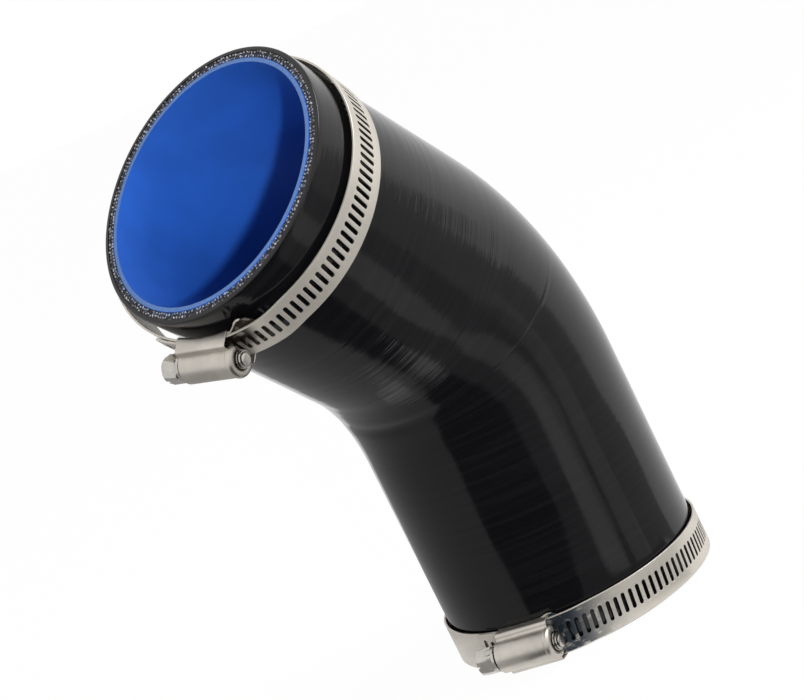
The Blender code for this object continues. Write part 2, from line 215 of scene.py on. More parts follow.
class Clamp:
    """Radii, angles and place of one clamp, counted from the middle of its screw."""

    tail_lap = math.radians(23.0)
    step = math.radians(6.0)
    tail_lift = 0.3 * MM
    tail_tip = 5.4 * MM
    tail_skew = 4.0 * MM
    taper = 7.0 * MM
    base_round = 4.0 * MM
    base_tip = 7.0 * MM
    slots_past_screw = 6
    housing_length = 18.0 * MM
    housing_wall = 0.5 * MM
    housing_gap = 0.15 * MM
    shoulder = 4.0 * MM
    thread_radius = 4.1 * MM
    thread_height = 1.0 * MM
    thread_bite = 0.65 * MM
    barrel_inner = 4.3 * MM
    barrel_outer = 5.0 * MM
    floor_round = 1.0 * MM
    shoulder_round = 1.1 * MM
    housing_rim = 0.14 * MM

    def __init__(self, slack, angle, distance, tilt, drop, shift, oil, film_and_shade, base):
        sizes = clamp_settings()
        self.oil, self.film_and_shade = oil, film_and_shade
        self.base_lap, self.base_skew = base
        self.lap_rise = sizes.thickness + sizes.lap_gap
        self.inner = COVER_RADIUS + slack
        self.angle = angle
        self.rolled = self.inner + self.lap_rise + sizes.thickness / 2
        lift = self.lap_rise + sizes.thickness + self.thread_radius - self.thread_bite
        self.screw = self.inner + lift
        self.pitch = sizes.pitch / self.rolled
        self.slots_end = 2 * math.pi + (self.slots_past_screw + 0.5) * self.pitch
        self.slots_start = self.slots_end - sizes.slots * self.pitch
        self.tip = max(2 * math.pi + self.tail_lap, self.slots_end + self.pitch / 2)
        self.slant = sizes.pitch / (2 * math.pi * (self.thread_radius - self.thread_height / 2))
        centre, outward, sideways = hose_station(distance)
        along = outward.cross(sideways)
        centre = centre - outward * drop - sideways * shift
        self.place = axes_matrix(outward, sideways, along, centre)
        self.place = self.place @ Matrix.Rotation(tilt, 4, "X")

    def screw_place(self):
        radial = Vector((math.cos(self.angle), math.sin(self.angle), 0.0))
        tangent = Vector((-math.sin(self.angle), math.cos(self.angle), 0.0))
        axes = axes_matrix(radial, Vector((0.0, 0.0, -1.0)), tangent, radial * self.screw)
        return self.place @ axes


def both_clamps():
    """The clamps as the photograph shows them, the upper one slack and tilted."""
    sizes = clamp_settings()
    # Each clamp's film colour is partly an oil film and partly painted shade near its housing
    upper = Clamp(
        slack=sizes.upper_slack, angle=sizes.upper_angle, distance=hose_length() - 14.15 * MM,
        tilt=math.radians(5.3), drop=0.65 * MM, shift=0.4 * MM,
        oil=(0.3, 0.4, 0.5 * MM), film_and_shade="#2B201B", base=(math.radians(24.0), 3.6 * MM),
    )
    lower = Clamp(
        slack=sizes.lower_slack, angle=sizes.lower_angle, distance=7.1 * MM,
        tilt=0.0, drop=0.0, shift=0.0,
        oil=(0.3, 0.8, 9.0 * MM), film_and_shade="#2C353D", base=(math.radians(16.5), 1.2 * MM),
    )
    return {"upper_clamp": upper, "lower_clamp": lower}


# Nodes

def add_node(tree, kind, inputs=None, **options):
    """Add a node, set its options, and set or link its inputs."""
    node = tree.nodes.new(kind)
    for name, value in options.items():
        setattr(node, name, value)
    for name, value in (inputs or {}).items():
        if isinstance(value, bpy.types.NodeSocket):
            tree.links.new(value, node.inputs[name])
        else:
            node.inputs[name].default_value = value
    return node


def calculate(tree, operation, *values):
    """A Math node on numbers or sockets, in a shader or a geometry tree."""
    node = add_node(tree, "ShaderNodeMath", dict(enumerate(values)), operation=operation)
    return node.outputs[0]


def plus(tree, first, second):
    return calculate(tree, "ADD", first, second)


def minus(tree, first, second):
    return calculate(tree, "SUBTRACT", first, second)


def times(tree, first, second):
    return calculate(tree, "MULTIPLY", first, second)


def ramp(tree, value, low, high, to_low=0.0, to_high=1.0, smooth=True):
    """Map a value from one range to another, clamped."""
    node = add_node(
        tree, "ShaderNodeMapRange",
        {"Value": value, "From Min": low, "From Max": high, "To Min": to_low, "To Max": to_high},
        interpolation_type="SMOOTHSTEP" if smooth else "LINEAR",
    )
    return node.outputs[0]


def split(tree, vector):
    node = add_node(tree, "ShaderNodeSeparateXYZ", {0: vector})
    return node.outputs["X"], node.outputs["Y"], node.outputs["Z"]


def combine(tree, x, y, z):
    return add_node(tree, "ShaderNodeCombineXYZ", {"X": x, "Y": y, "Z": z}).outputs[0]


def polar(tree, reach, angle):
    """X and Y of a point at a reach and an angle."""
    cosine, sine = (calculate(tree, kind, angle) for kind in ("COSINE", "SINE"))
    return times(tree, reach, cosine), times(tree, reach, sine)


def shifted(tree, vector, step):
    return add_node(tree, "ShaderNodeVectorMath", {0: vector, 1: step}, operation="ADD").outputs[0]


def point_place(tree):
    return add_node(tree, "GeometryNodeInputPosition").outputs[0]


def shape_of(tree, holder):
    """The shape that an object carries, to be set or copied by a tree."""
    return add_node(tree, "GeometryNodeObjectInfo", {"Object": holder}).outputs["Geometry"]


def set_position(tree, geometry, position):
    node = add_node(tree, "GeometryNodeSetPosition", {"Geometry": geometry, "Position": position})
    return node.outputs[0]


def store(tree, geometry, name, value, kind="FLOAT"):
    """Keep a value on each point as a named attribute."""
    node = add_node(
        tree, "GeometryNodeStoreNamedAttribute",
        {"Geometry": geometry, "Name": name, "Value": value}, data_type=kind, domain="POINT",
    )
    return node.outputs[0]


def join_geometry(tree, parts):
    joined = add_node(tree, "GeometryNodeJoinGeometry")
    for part in parts:
        tree.links.new(part, joined.inputs[0])
    return joined.outputs[0]


def random_vector(tree, low, high, seed):
    node = add_node(
        tree, "FunctionNodeRandomValue", {"Min": low, "Max": high, "Seed": seed},
        data_type="FLOAT_VECTOR",
    )
    return node.outputs[0]


def new_tree(name, **sockets):
    """An empty geometry tree with its inputs, named by type; Material comes last."""
    tree = bpy.data.node_groups.new(name, "GeometryNodeTree")
    for side in ("OUTPUT", "INPUT"):
        tree.interface.new_socket("Geometry", in_out=side, socket_type="NodeSocketGeometry")
    for kind, labels in {**sockets, "Material": ["Material"]}.items():
        for label in labels:
            tree.interface.new_socket(label, in_out="INPUT", socket_type="NodeSocket" + kind)
    return tree, add_node(tree, "NodeGroupInput").outputs


def end_tree(tree, given, geometry):
    """Close a tree with Realize Instances and Set Material."""
    real = add_node(tree, "GeometryNodeRealizeInstances", {"Geometry": geometry})
    painted = add_node(tree, "GeometryNodeSetMaterial", {
        "Geometry": real.outputs[0], "Material": given["Material"],
    })
    add_node(tree, "NodeGroupOutput", {"Geometry": painted.outputs[0]})
    return tree


def add_object(name, data):
    """A new object in the scene's own collection."""
    item = bpy.data.objects.new(name, data)
    bpy.context.scene.collection.objects.link(item)
    return item


def grow(tree, mesh, values):
    """Run a tree on a mesh and give back the result as a plain mesh."""
    holder = add_object("holder", mesh)
    modifier = holder.modifiers.new(tree.name, "NODES")
    modifier.node_group = tree
    for item in tree.interface.items_tree:
        if item.in_out == "INPUT" and item.name in values:
            modifier[item.identifier] = values[item.name]
    graph = bpy.context.evaluated_depsgraph_get()
    grown = bpy.data.meshes.new_from_object(
        holder.evaluated_get(graph), preserve_all_data_layers=True, depsgraph=graph
    )
    bpy.data.objects.remove(holder)
    return grown


# Meshes

def mesh_from(points, faces, name="shape"):
    mesh = bpy.data.meshes.new(name)
    mesh.from_pydata([tuple(point) for point in points], [], faces)
    return mesh


def face_outwards(mesh):
    shape = bmesh.new()
    shape.from_mesh(mesh)
    bmesh.ops.recalc_face_normals(shape, faces=shape.faces)
    shape.to_mesh(mesh)
    shape.free()
    return mesh


def ring_faces(rings, size, wrap):
    """Quads between rings of points that follow each other."""
    faces = []
    for row in range(rings if wrap else rings - 1):
        after = (row + 1) % rings
        for index in range(size):
            side = (index + 1) % size
            faces.append((
                row * size + index, row * size + side, after * size + side, after * size + index,
            ))
    return faces


def turned_ring(place, radius, sides=48):
    """Points round the Z axis at a height; the radius may depend on the angle."""
    ring = []
    for index in range(sides):
        angle = 2 * math.pi * index / sides
        reach = radius(angle) if callable(radius) else radius
        ring.append((reach * math.cos(angle), reach * math.sin(angle), place))
    return ring


def lofted(rings):
    """A closed mesh through rings of points, with a face over each end."""
    size = len(rings[0])
    points = [point for ring in rings for point in ring]
    faces = ring_faces(len(rings), size, False)
    faces += [tuple(range(size))[::-1], tuple(range(len(points) - size, len(points)))]
    return face_outwards(mesh_from(points, faces))


def repainted(mesh, material):
    """The mesh with this material alone."""
    mesh.materials.clear()
    mesh.materials.append(material)
    return mesh


def finish_piece(name, mesh, nodes, sharp, body=BODY):
    """Make a piece from its mesh, smooth it and hand it to the frame."""
    mesh.name = name
    mesh.shade_smooth()
    mesh.set_sharp_from_angle(angle=math.radians(sharp))
    piece = add_object(name, mesh)
    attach(piece, body)
    if nodes:
        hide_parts(*nodes)
    return piece


def join_meshes(meshes):
    """One mesh from several, with their attributes and materials."""
    parts = [add_object("part", mesh) for mesh in meshes]
    with bpy.context.temp_override(
        active_object=parts[0], object=parts[0],
        selected_objects=parts, selected_editable_objects=parts,
    ):
        bpy.ops.object.join()
    joined = parts[0].data
    bpy.data.objects.remove(parts[0])
    return joined


# Hose

TUBE_STATIONS = 120
SEAM_REACH = 6 * MM
SEAM_STEP = 0.25 * MM
ROUNDING_TURNS = (0.0, 0.4, 0.8, 1.2, 1.5708)


def tube_mesh(inner, outer, rounding, around, relief=None, inset=0.0):
    """Straight tube along Z: its wall's section turned about the axis."""
    sizes = hose_settings()
    length = hose_length()
    middle = sizes.lower_leg + sizes.bend_radius * sizes.bend_angle / 2
    stations = [length * step / TUBE_STATIONS for step in range(1, TUBE_STATIONS)]
    if relief:
        stations = [place for place in stations if abs(place - middle) > SEAM_REACH]
        stations += [middle + step * SEAM_STEP for step in range(-24, 25)]
    stations.sort()
    arc = [(math.sin(turn), 1 - math.cos(turn)) for turn in ROUNDING_TURNS]
    section = [(rounding * down, outer - rounding * (1 - up)) for up, down in arc]
    section += [(place, outer) for place in stations]
    section += [(length - rounding * down, outer - rounding * (1 - up)) for up, down in arc[::-1]]
    cut_row = len(section) - 1
    section += [(length, inner)] + [(place, inner) for place in stations[::-1]] + [(0.0, inner)]
    points = []
    for row, (place, radius) in enumerate(section):
        level = inset + place * (1.0 - 2.0 * inset / length)
        for index in range(around):
            angle = 2 * math.pi * index / around
            reach = radius
            if relief and row < cut_row:
                reach += relief(angle, place - middle)
            points.append((reach * math.cos(angle), -reach * math.sin(angle), level))
    faces = ring_faces(len(section), around, True)
    mesh = mesh_from(points, faces)
    cut = mesh.attributes.new("cut_face", "FLOAT", "FACE")
    for face in range(len(faces)):
        if face // around in (cut_row, len(section) - 1):
            cut.data[face].value = 1.0
    return face_outwards(mesh)


BEND_INPUTS = ["Lower Leg", "Bend Radius", "Bend Angle"]


def bend_position(tree, given, place):
    """Carry a point of the straight tube to the elbow."""
    x, y, z = split(tree, place)
    leg, radius, limit = (given[name] for name in BEND_INPUTS)
    past_leg = minus(tree, z, leg)
    turn = calculate(tree, "MAXIMUM", calculate(tree, "DIVIDE", past_leg, radius), 0.0)
    turn = calculate(tree, "MINIMUM", turn, limit)
    before = calculate(tree, "MINIMUM", past_leg, 0.0)
    past_bend = minus(tree, past_leg, times(tree, limit, radius))
    straight = plus(tree, before, calculate(tree, "MAXIMUM", past_bend, 0.0))
    near_x, near_z = polar(tree, plus(tree, radius, x), turn)
    far_z, far_x = polar(tree, straight, turn)
    out_x = minus(tree, minus(tree, near_x, far_x), radius)
    out_z = plus(tree, plus(tree, near_z, far_z), leg)
    return shifted(tree, combine(tree, out_x, y, out_z), given["Foot"])


def bend_tree():
    """Geometry nodes that bend a straight tube and keep its straight places."""
    tree, given = new_tree("bend_along_elbow", Float=BEND_INPUTS, Vector=["Foot"])
    place = point_place(tree)
    kept = store(tree, given["Geometry"], "tube_place", place, "FLOAT_VECTOR")
    bent = set_position(tree, kept, bend_position(tree, given, place))
    return end_tree(tree, given, bent)


def bend_values(material):
    sizes = hose_settings()
    return {
        "Lower Leg": sizes.lower_leg, "Bend Radius": sizes.bend_radius,
        "Bend Angle": sizes.bend_angle, "Foot": FOOT, "Material": material,
    }


def seam_relief(angle, offset):
    """Low ridge where the tape of both legs meets, and the tucked inner side of the bend."""
    height = hose_settings().seam
    stray = 2.6 * MM * min(max((2.0 - angle) / 0.8, 0.0), 1.5)
    crest = math.exp(-((offset - stray) / (0.5 * MM)) ** 2)
    front = math.exp(-((angle - 1.85) / 0.42) ** 2)
    lumps = 0.7 + 0.3 * math.sin(angle * 23.0) * math.sin(angle * 7.0)
    inner = max(-math.cos(angle), 0.0) ** 10
    tuck = 0.7 * MM * math.exp(-(offset / SEAM_REACH) ** 2)
    return height * crest * (0.04 + 0.96 * front * lumps) - inner * tuck


# Cut face of the plies

def yarn_mesh():
    """One frayed yarn end: a short tapered tuft with a few sides."""
    profile = ((-0.5, 0.55), (0.1, 1.0), (0.6, 0.75), (0.95, 0.3))
    return lofted([turned_ring(height, radius, 6) for height, radius in profile])


def yarn_tree():
    """Geometry nodes that set yarn ends round the cut faces and bend them with the hose."""
    tree, given = new_tree(
        "yarn_ends", Object=["Yarn"], Int=["Count", "Seed"], Vector=["Foot"],
        Float=["Inner Radius", "Row Step", "Jitter", "Yarn Size", "Length", *BEND_INPUTS],
    )
    yarn = shape_of(tree, given["Yarn"])
    rows = [yarn_row(tree, given, yarn, row, end) for row in range(2) for end in range(2)]
    bent = bend_position(tree, given, point_place(tree))
    return end_tree(tree, given, set_position(tree, join_geometry(tree, rows), bent))


YARN_SCALES = ((0.6, 0.5, 0.4), (1.4, 1.0, 0.9))
YARN_LEAN = 0.4
YARNS_KEPT = 0.9
YARN_JITTER = 0.2 * MM
YARN_SEED = 7


def yarn_row(tree, given, yarn, row, end):
    """One ring of yarn ends, jittered in place, size and lean."""
    seed = plus(tree, given["Seed"], float(row * 2 + end))
    flip = 0.0 if end else math.pi
    radius = plus(tree, times(tree, given["Row Step"], row + 0.5), given["Inner Radius"])
    circle = add_node(tree, "GeometryNodeMeshCircle", {
        "Vertices": given["Count"], "Radius": radius,
    })
    reach, size = given["Jitter"], given["Yarn Size"]
    back = times(tree, reach, -1.0)
    nudge = random_vector(
        tree, combine(tree, back, back, 0.0), combine(tree, reach, reach, 0.0), seed,
    )
    height = minus(tree, given["Length"], times(tree, size, 0.4)) if end else size
    spread = add_node(tree, "GeometryNodeSetPosition", {
        "Geometry": circle.outputs[0],
        "Offset": shifted(tree, nudge, combine(tree, 0.0, 0.0, height)),
    })
    scale = random_vector(tree, *YARN_SCALES, plus(tree, seed, 20.0))
    scale = add_node(tree, "ShaderNodeVectorMath", {0: scale, "Scale": size}, operation="SCALE")
    turn = random_vector(
        tree, (flip - YARN_LEAN, -YARN_LEAN, 0.0), (flip + YARN_LEAN, YARN_LEAN, 6.28),
        plus(tree, seed, 40.0),
    )
    chosen = add_node(tree, "FunctionNodeRandomValue", {
        "Probability": YARNS_KEPT, "Seed": plus(tree, seed, 60.0),
    }, data_type="BOOLEAN")
    tufts = add_node(tree, "GeometryNodeInstanceOnPoints", {
        "Points": spread.outputs[0], "Instance": yarn, "Selection": chosen.outputs["Value"],
        "Rotation": turn, "Scale": scale.outputs[0],
    })
    real = add_node(tree, "GeometryNodeRealizeInstances", {"Geometry": tufts.outputs[0]})
    return store(tree, real.outputs[0], "near_liner", 1.0 - row)


# Clamp strips

EDGE_BEVEL = 0.1 * MM

# Numbers of a cell's border points along each of its long sides
CELL_SIDES = ((4, 5, 6, 7, 8), (13, 14, 15, 16, 17))


def strip_outline(half_length):
    """Places round a slot, its rim and its cell, point for point, as (along, across)."""
    sizes = clamp_settings()
    wide = sizes.slot_width / 2
    out = wide + sizes.slot_rim
    straight = sizes.slot_length / 2 - wide
    edge = sizes.width / 2 - EDGE_BEVEL
    slot, rim, border = [], [], []
    for sign in (1, -1):
        for across in (-1.0, -1 / 3, 1 / 3, 1.0):
            for loop, along in ((slot, wide), (rim, out), (border, half_length)):
                loop.append((sign * along, sign * straight * across))
        for step in range(1, 6):
            turn = math.pi * step / 6
            for loop, reach in ((slot, wide), (rim, out)):
                loop.append((
                    sign * reach * math.cos(turn), sign * (straight + reach * math.sin(turn)),
                ))
            border.append((sign * half_length * (3 - step) / 2, sign * edge))
    return slot, rim, border


def cell_mesh(half_length, slotted):
    """One pitch of flat strip, open at both ends, with or without its slot."""
    sizes = clamp_settings()
    thick = sizes.thickness
    slot, rim, border = strip_outline(half_length)
    count = len(border)
    levels = [(border, thick), (border, 0.0)]
    faces = []
    if slotted:
        middle = [
            (a[0] * 0.6 + b[0] * 0.4, a[1] * 0.6 + b[1] * 0.4) for a, b in zip(slot, rim)
        ]
        levels += [
            (rim, thick), (middle, thick - 0.02 * MM), (slot, thick - 0.1 * MM), (slot, 0.0),
        ]
        chain = [0, 2 * count, 3 * count, 4 * count, 5 * count, count]
        for index in range(count):
            after = (index + 1) % count
            for near, far in zip(chain, chain[1:]):
                faces.append((near + index, near + after, far + after, far + index))
    else:
        faces += [tuple(range(count)), tuple(range(count, 2 * count))]
    points = [(along, across, height) for loop, height in levels for along, across in loop]
    for side in CELL_SIDES:
        sign = 1 if border[side[0]][1] > 0 else -1
        first = len(points)
        for height in (thick - EDGE_BEVEL, EDGE_BEVEL):
            points += [(border[index][0], sign * sizes.width / 2, height) for index in side]
        for step in range(4):
            top, low = side[step], count + side[step]
            top_after, low_after = side[step + 1], count + side[step + 1]
            mid, mid_after = first + step, first + step + 1
            faces.append((top, top_after, mid_after, mid))
            faces.append((mid, mid_after, mid_after + 5, mid + 5))
            faces.append((mid + 5, mid_after + 5, low_after, low))
    mesh = mesh_from(points, faces)
    # Painted shade: the slot walls are marked here so that the strip material paints them near
    # black
    slot_wall_shade = mesh.attributes.new("slot_wall_shade", "FLOAT", "FACE")
    if slotted:
        for face in range(3, 5 * count, 5):
            slot_wall_shade.data[face].value = 1.0
    return mesh


def end_cell_mesh(length, tip_width):
    """Closed end of the strip from a cell's border to a narrower tip."""
    sizes = clamp_settings()
    thick = sizes.thickness
    edge = sizes.width / 2 - EDGE_BEVEL
    straight = sizes.slot_length / 2 - sizes.slot_width / 2
    across = [-edge, -straight, -straight / 3, straight / 3, straight, edge]
    columns = []
    for share in (0.0, 0.35, 0.6, 0.8, 0.93, 1.0):
        narrow = 1.0 - (1.0 - tip_width / sizes.width) * share ** 2.2
        drop = 0.12 * MM if share == 1.0 else 0.0
        side = sizes.width / 2 * narrow
        column = [(value * narrow, thick - drop) for value in across]
        column += [(side, thick - EDGE_BEVEL), (side, EDGE_BEVEL)]
        column += [(value * narrow, drop) for value in across[::-1]]
        column += [(-side, EDGE_BEVEL), (-side, thick - EDGE_BEVEL)]
        columns.append([(length * share, aside, height) for aside, height in column])
    size = len(columns[0])
    points = [point for column in columns for point in column]
    faces = ring_faces(len(columns), size, False)
    faces.append(tuple(range(len(points) - size, len(points))))
    return mesh_from(points, faces)


def strip_tree():
    """Geometry nodes that lay the cells of a strip end to end and roll it up."""
    tree, given = new_tree(
        "slotted_strip", Object=["Plain Cell", "Slot Cell", "Base End", "Tail End"],
        Int=["Plain Count", "Slot Count"],
        Float=[
            "Plain Pitch", "Slot Pitch", "Start", "Slant", "Rolled Radius", "Inner Radius",
            "Screw Angle", "Lap Rise", "Rise From", "Rise To", "Lift From", "Tip", "Tail Lift",
            "Taper From", "Tip Share", "Base Skew", "Tail Skew", "Oil And Shade From", "Oil And Shade To", "Oil And Shade Side",
        ],
    )
    start = given["Start"]
    slots_from = plus(tree, times(tree, given["Plain Count"], given["Plain Pitch"]), start)
    tail_from = plus(tree, times(tree, given["Slot Count"], given["Slot Pitch"]), slots_from)
    real = add_node(tree, "GeometryNodeRealizeInstances", {"Geometry": join_geometry(tree, [
        strip_row(tree, given, "Plain", start), strip_row(tree, given, "Slot", slots_from),
        strip_end(tree, given["Tail End"], tail_from), strip_end(tree, given["Base End"], start),
    ])})
    merged = add_node(tree, "GeometryNodeMergeByDistance", {
        "Geometry": real.outputs[0], "Distance": 0.01 * MM,
    })
    place = point_place(tree)
    kept = store(tree, merged.outputs[0], "strip_place", place, "FLOAT_VECTOR")
    oiled = store(tree, kept, "oiled", oil_share(tree, given, place))
    rolled = set_position(tree, oiled, rolled_position(tree, given, place))
    return end_tree(tree, given, rolled)


# Dark film on the strip, partly oil and partly painted shade: angles from the screw's middle, and
# half the width of its side edge
OIL_AND_SHADE_START = 0.1
OIL_AND_SHADE_ON_BASE = 0.12
OIL_AND_SHADE_BLUR = 3.0 * MM


def oil_share(tree, given, place):
    """Share of the dark film, partly oil and partly painted shade: 1 where the strip leaves the
    rear of the housing, on both laps, else 0.
    """
    along, across = split(tree, place)[:2]
    turns = calculate(tree, "DIVIDE", along, given["Rolled Radius"])
    before = minus(tree, 2 * math.pi, turns)
    side = minus(tree, across, given["Oil And Shade Side"])
    far = ramp(tree, before, given["Oil And Shade From"], given["Oil And Shade To"], 1.0, 0.0)
    outer = times(tree, ramp(tree, before, 0.0, OIL_AND_SHADE_START), far)
    outer = times(tree, outer, ramp(tree, side, -OIL_AND_SHADE_BLUR, OIL_AND_SHADE_BLUR, 1.0, 0.0))
    base = ramp(tree, turns, -OIL_AND_SHADE_ON_BASE, 0.0, 1.0, 0.0)
    return calculate(tree, "MAXIMUM", outer, base)


def strip_row(tree, given, kind, start):
    """Copies of the plain or the slotted cell, one pitch apart, from a starting place."""
    pitch = given[kind + " Pitch"]
    first = calculate(tree, "MULTIPLY_ADD", pitch, 0.5, start)
    line = add_node(tree, "GeometryNodeMeshLine", {
        "Count": given[kind + " Count"], "Start Location": combine(tree, first, 0.0, 0.0),
        "Offset": combine(tree, pitch, 0.0, 0.0),
    }, mode="OFFSET")
    copies = add_node(tree, "GeometryNodeInstanceOnPoints", {
        "Points": line.outputs[0], "Instance": shape_of(tree, given[kind + " Cell"]),
    })
    return copies.outputs[0]


def strip_end(tree, end, start):
    moved = add_node(tree, "GeometryNodeTransform", {
        "Geometry": shape_of(tree, end), "Translation": combine(tree, start, 0.0, 0.0),
    })
    return moved.outputs[0]


# The base end swings aside along a sine, from just before the start to well past it
BASE_HOOK = (-4.0 * MM, 5.5 * MM, 0.9, math.pi)
SLANT_FADE = 4.0 * MM


def rolled_position(tree, given, place):
    """Carry a point of the flat strip to the clamp's loop."""
    along, across, height = split(tree, place)
    start = given["Start"]
    tip = times(tree, given["Tip"], given["Rolled Radius"])
    narrow = ramp(tree, along, given["Taper From"], tip, 1.0, given["Tip Share"], False)
    across = times(tree, across, narrow)
    across = minus(tree, across, times(tree, minus(tree, 1.0, narrow), given["Tail Skew"]))
    hook = ramp(tree, minus(tree, along, start), *BASE_HOOK, False)
    across = minus(tree, across, times(tree, calculate(tree, "SINE", hook), given["Base Skew"]))
    fade = ramp(tree, along, start, plus(tree, start, SLANT_FADE))
    lean = times(tree, times(tree, across, given["Slant"]), fade)
    turn = calculate(tree, "DIVIDE", plus(tree, along, lean), given["Rolled Radius"])
    rise = ramp(tree, turn, given["Rise From"], given["Rise To"], 0.0, given["Lap Rise"])
    lift = ramp(tree, turn, given["Lift From"], given["Tip"], smooth=False)
    lift = times(tree, calculate(tree, "POWER", lift, 2.0), given["Tail Lift"])
    reach = plus(tree, plus(tree, rise, lift), plus(tree, height, given["Inner Radius"]))
    x, y = polar(tree, reach, plus(tree, turn, given["Screw Angle"]))
    return combine(tree, x, y, across)


PLAIN_CELLS = 60


def make_strip(name, clamp, tree, material):
    """The whole band of one clamp as a finished piece."""
    sizes = clamp_settings()
    plain = (clamp.slots_start + clamp.base_lap) * clamp.rolled - clamp.base_round
    tail = (clamp.tip - clamp.slots_end) * clamp.rolled
    shapes = {
        "Plain Cell": cell_mesh(plain / PLAIN_CELLS / 2, False),
        "Slot Cell": cell_mesh(sizes.pitch / 2, True),
        "Base End": end_cell_mesh(-clamp.base_round, clamp.base_tip),
        "Tail End": end_cell_mesh(tail, sizes.width * 0.9),
    }
    holders = {label: add_object(label, mesh) for label, mesh in shapes.items()}
    rise_end = 2 * math.pi - clamp.base_lap - clamp.step / 3
    values = {
        "Plain Count": PLAIN_CELLS, "Slot Count": sizes.slots,
        "Plain Pitch": plain / PLAIN_CELLS, "Slot Pitch": sizes.pitch,
        "Start": -clamp.base_lap * clamp.rolled + clamp.base_round, "Slant": clamp.slant,
        "Rolled Radius": clamp.rolled, "Inner Radius": clamp.inner,
        "Screw Angle": clamp.angle, "Lap Rise": clamp.lap_rise,
        "Rise From": rise_end - 2 * clamp.step, "Rise To": rise_end,
        "Lift From": 2 * math.pi + clamp.housing_length / 2 / clamp.inner,
        "Tip": clamp.tip, "Tail Lift": clamp.tail_lift, "Material": material,
        "Taper From": clamp.tip * clamp.rolled - clamp.taper,
        "Tip Share": clamp.tail_tip / sizes.width, "Base Skew": clamp.base_skew,
        "Tail Skew": clamp.tail_skew * sizes.width / (sizes.width - clamp.tail_tip),
        "Oil And Shade From": clamp.oil[0], "Oil And Shade To": clamp.oil[1], "Oil And Shade Side": clamp.oil[2],
    }
    mesh = grow(tree, bpy.data.meshes.new("empty"), {**values, **holders})
    for holder in holders.values():
        bpy.data.objects.remove(holder)
    mesh.transform(clamp.place)
    face_outwards(mesh)
    return finish_piece(name + "_strip", mesh, [name + "_band"], 40.0)


# Clamp housings

def housing_outline(clamp, place):
    """Outer and inner outline of the folded housing, as (across, height) pairs."""
    sizes = clamp_settings()
    half_width = sizes.width / 2 + clamp.housing_gap + clamp.housing_wall
    plate_low = clamp.inner - clamp.housing_gap - clamp.housing_wall
    floor_low = math.sqrt(plate_low ** 2 - place ** 2)
    floor_high = math.sqrt((plate_low + clamp.housing_wall) ** 2 - place ** 2)
    shoulder = clamp.inner + clamp.shoulder
    loops = []
    for shrink, floor, barrel in (
        (0.0, floor_low, clamp.barrel_outer),
        (clamp.housing_wall, floor_high, clamp.barrel_inner),
    ):
        half = half_width - shrink
        top = shoulder - shrink
        foot = math.asin(max(min((top - clamp.screw) / barrel, 1.0), -1.0))
        low_round, high_round = clamp.floor_round - shrink, clamp.shoulder_round - shrink
        side = [(0.0, floor), (half - 2.0 * MM, floor)]
        for step in range(5):
            turn = math.pi / 2 * step / 4
            side.append((half - low_round + low_round * math.sin(turn),
                         floor + low_round - low_round * math.cos(turn)))
        side.append((half, (floor + top) / 2))
        for step in range(5):
            turn = math.pi / 2 * step / 4
            side.append((half - high_round + high_round * math.cos(turn),
                         top - high_round + high_round * math.sin(turn)))
        ends = barrel * math.cos(foot)
        side.append((ends + 0.35 * MM, top + 0.03 * MM))
        for step in range(15):
            angle = foot + 0.06 + (math.pi / 2 - foot - 0.06) * step / 14
            side.append((barrel * math.cos(angle), clamp.screw + barrel * math.sin(angle)))
        loop = side + [(-across, height) for across, height in side[-2:0:-1]]
        loops.append(loop)
    return loops


# Places along the screw's axis and radii, in millimetres
LIP_SECTION = (
    (-8.1, 4.8), (-8.3, 5.05), (-8.8, 5.25), (-9.5, 5.25), (-10.1, 4.9), (-10.4, 4.3),
    (-10.4, 3.7), (-10.3, 3.25), (-10.1, 3.1), (-9.93, 3.3), (-9.87, 3.9), (-9.5, 4.35),
    (-8.8, 4.5), (-8.1, 4.5),
)


def lip_mesh(clamp):
    """Rear end of the barrel, rolled in to a round hole for the screw's nose."""
    rings = []
    for step in range(41):
        angle = math.radians(-120.0 + 240.0 * step / 40)
        rings.append([
            (radius * MM * math.cos(angle), radius * MM * math.sin(angle), place * MM)
            for place, radius in LIP_SECTION
        ])
    mesh = lofted(rings)
    mesh.transform(clamp.screw_place())
    return mesh


def make_housing(name, clamp, material):
    """The pressed housing with its rolled rear lip."""
    half = clamp.housing_length / 2
    stations = [-half + 2 * half * step / 14 for step in range(15)]
    radial = Vector((math.cos(clamp.angle), math.sin(clamp.angle), 0.0))
    tangent = Vector((-math.sin(clamp.angle), math.cos(clamp.angle), 0.0))
    rings = ([], [])
    for place in stations:
        for rows, loop in zip(rings, housing_outline(clamp, place)):
            rows.append([
                radial * height + tangent * place + Vector((0.0, 0.0, across))
                for across, height in loop
            ])
    rim = clamp.housing_rim
    rear = [(a + b) / 2 - tangent * rim for a, b in zip(rings[0][0], rings[1][0])]
    front = [(a + b) / 2 + tangent * rim for a, b in zip(rings[0][-1], rings[1][-1])]
    sequence = [rear] + rings[0] + [front] + rings[1][::-1]
    points = [point for ring in sequence for point in ring]
    mesh = mesh_from(points, ring_faces(len(sequence), len(sequence[0]), True))
    mesh.transform(clamp.place)
    mesh = repainted(join_meshes([face_outwards(mesh), lip_mesh(clamp)]), material)
    return finish_piece(name + "_shell", mesh, [name + "_housing"], 50.0)


# Screws

THREAD_TURNS = 6
THREAD_PHASE = math.pi / 18
THREAD_SINK = 0.2 * MM


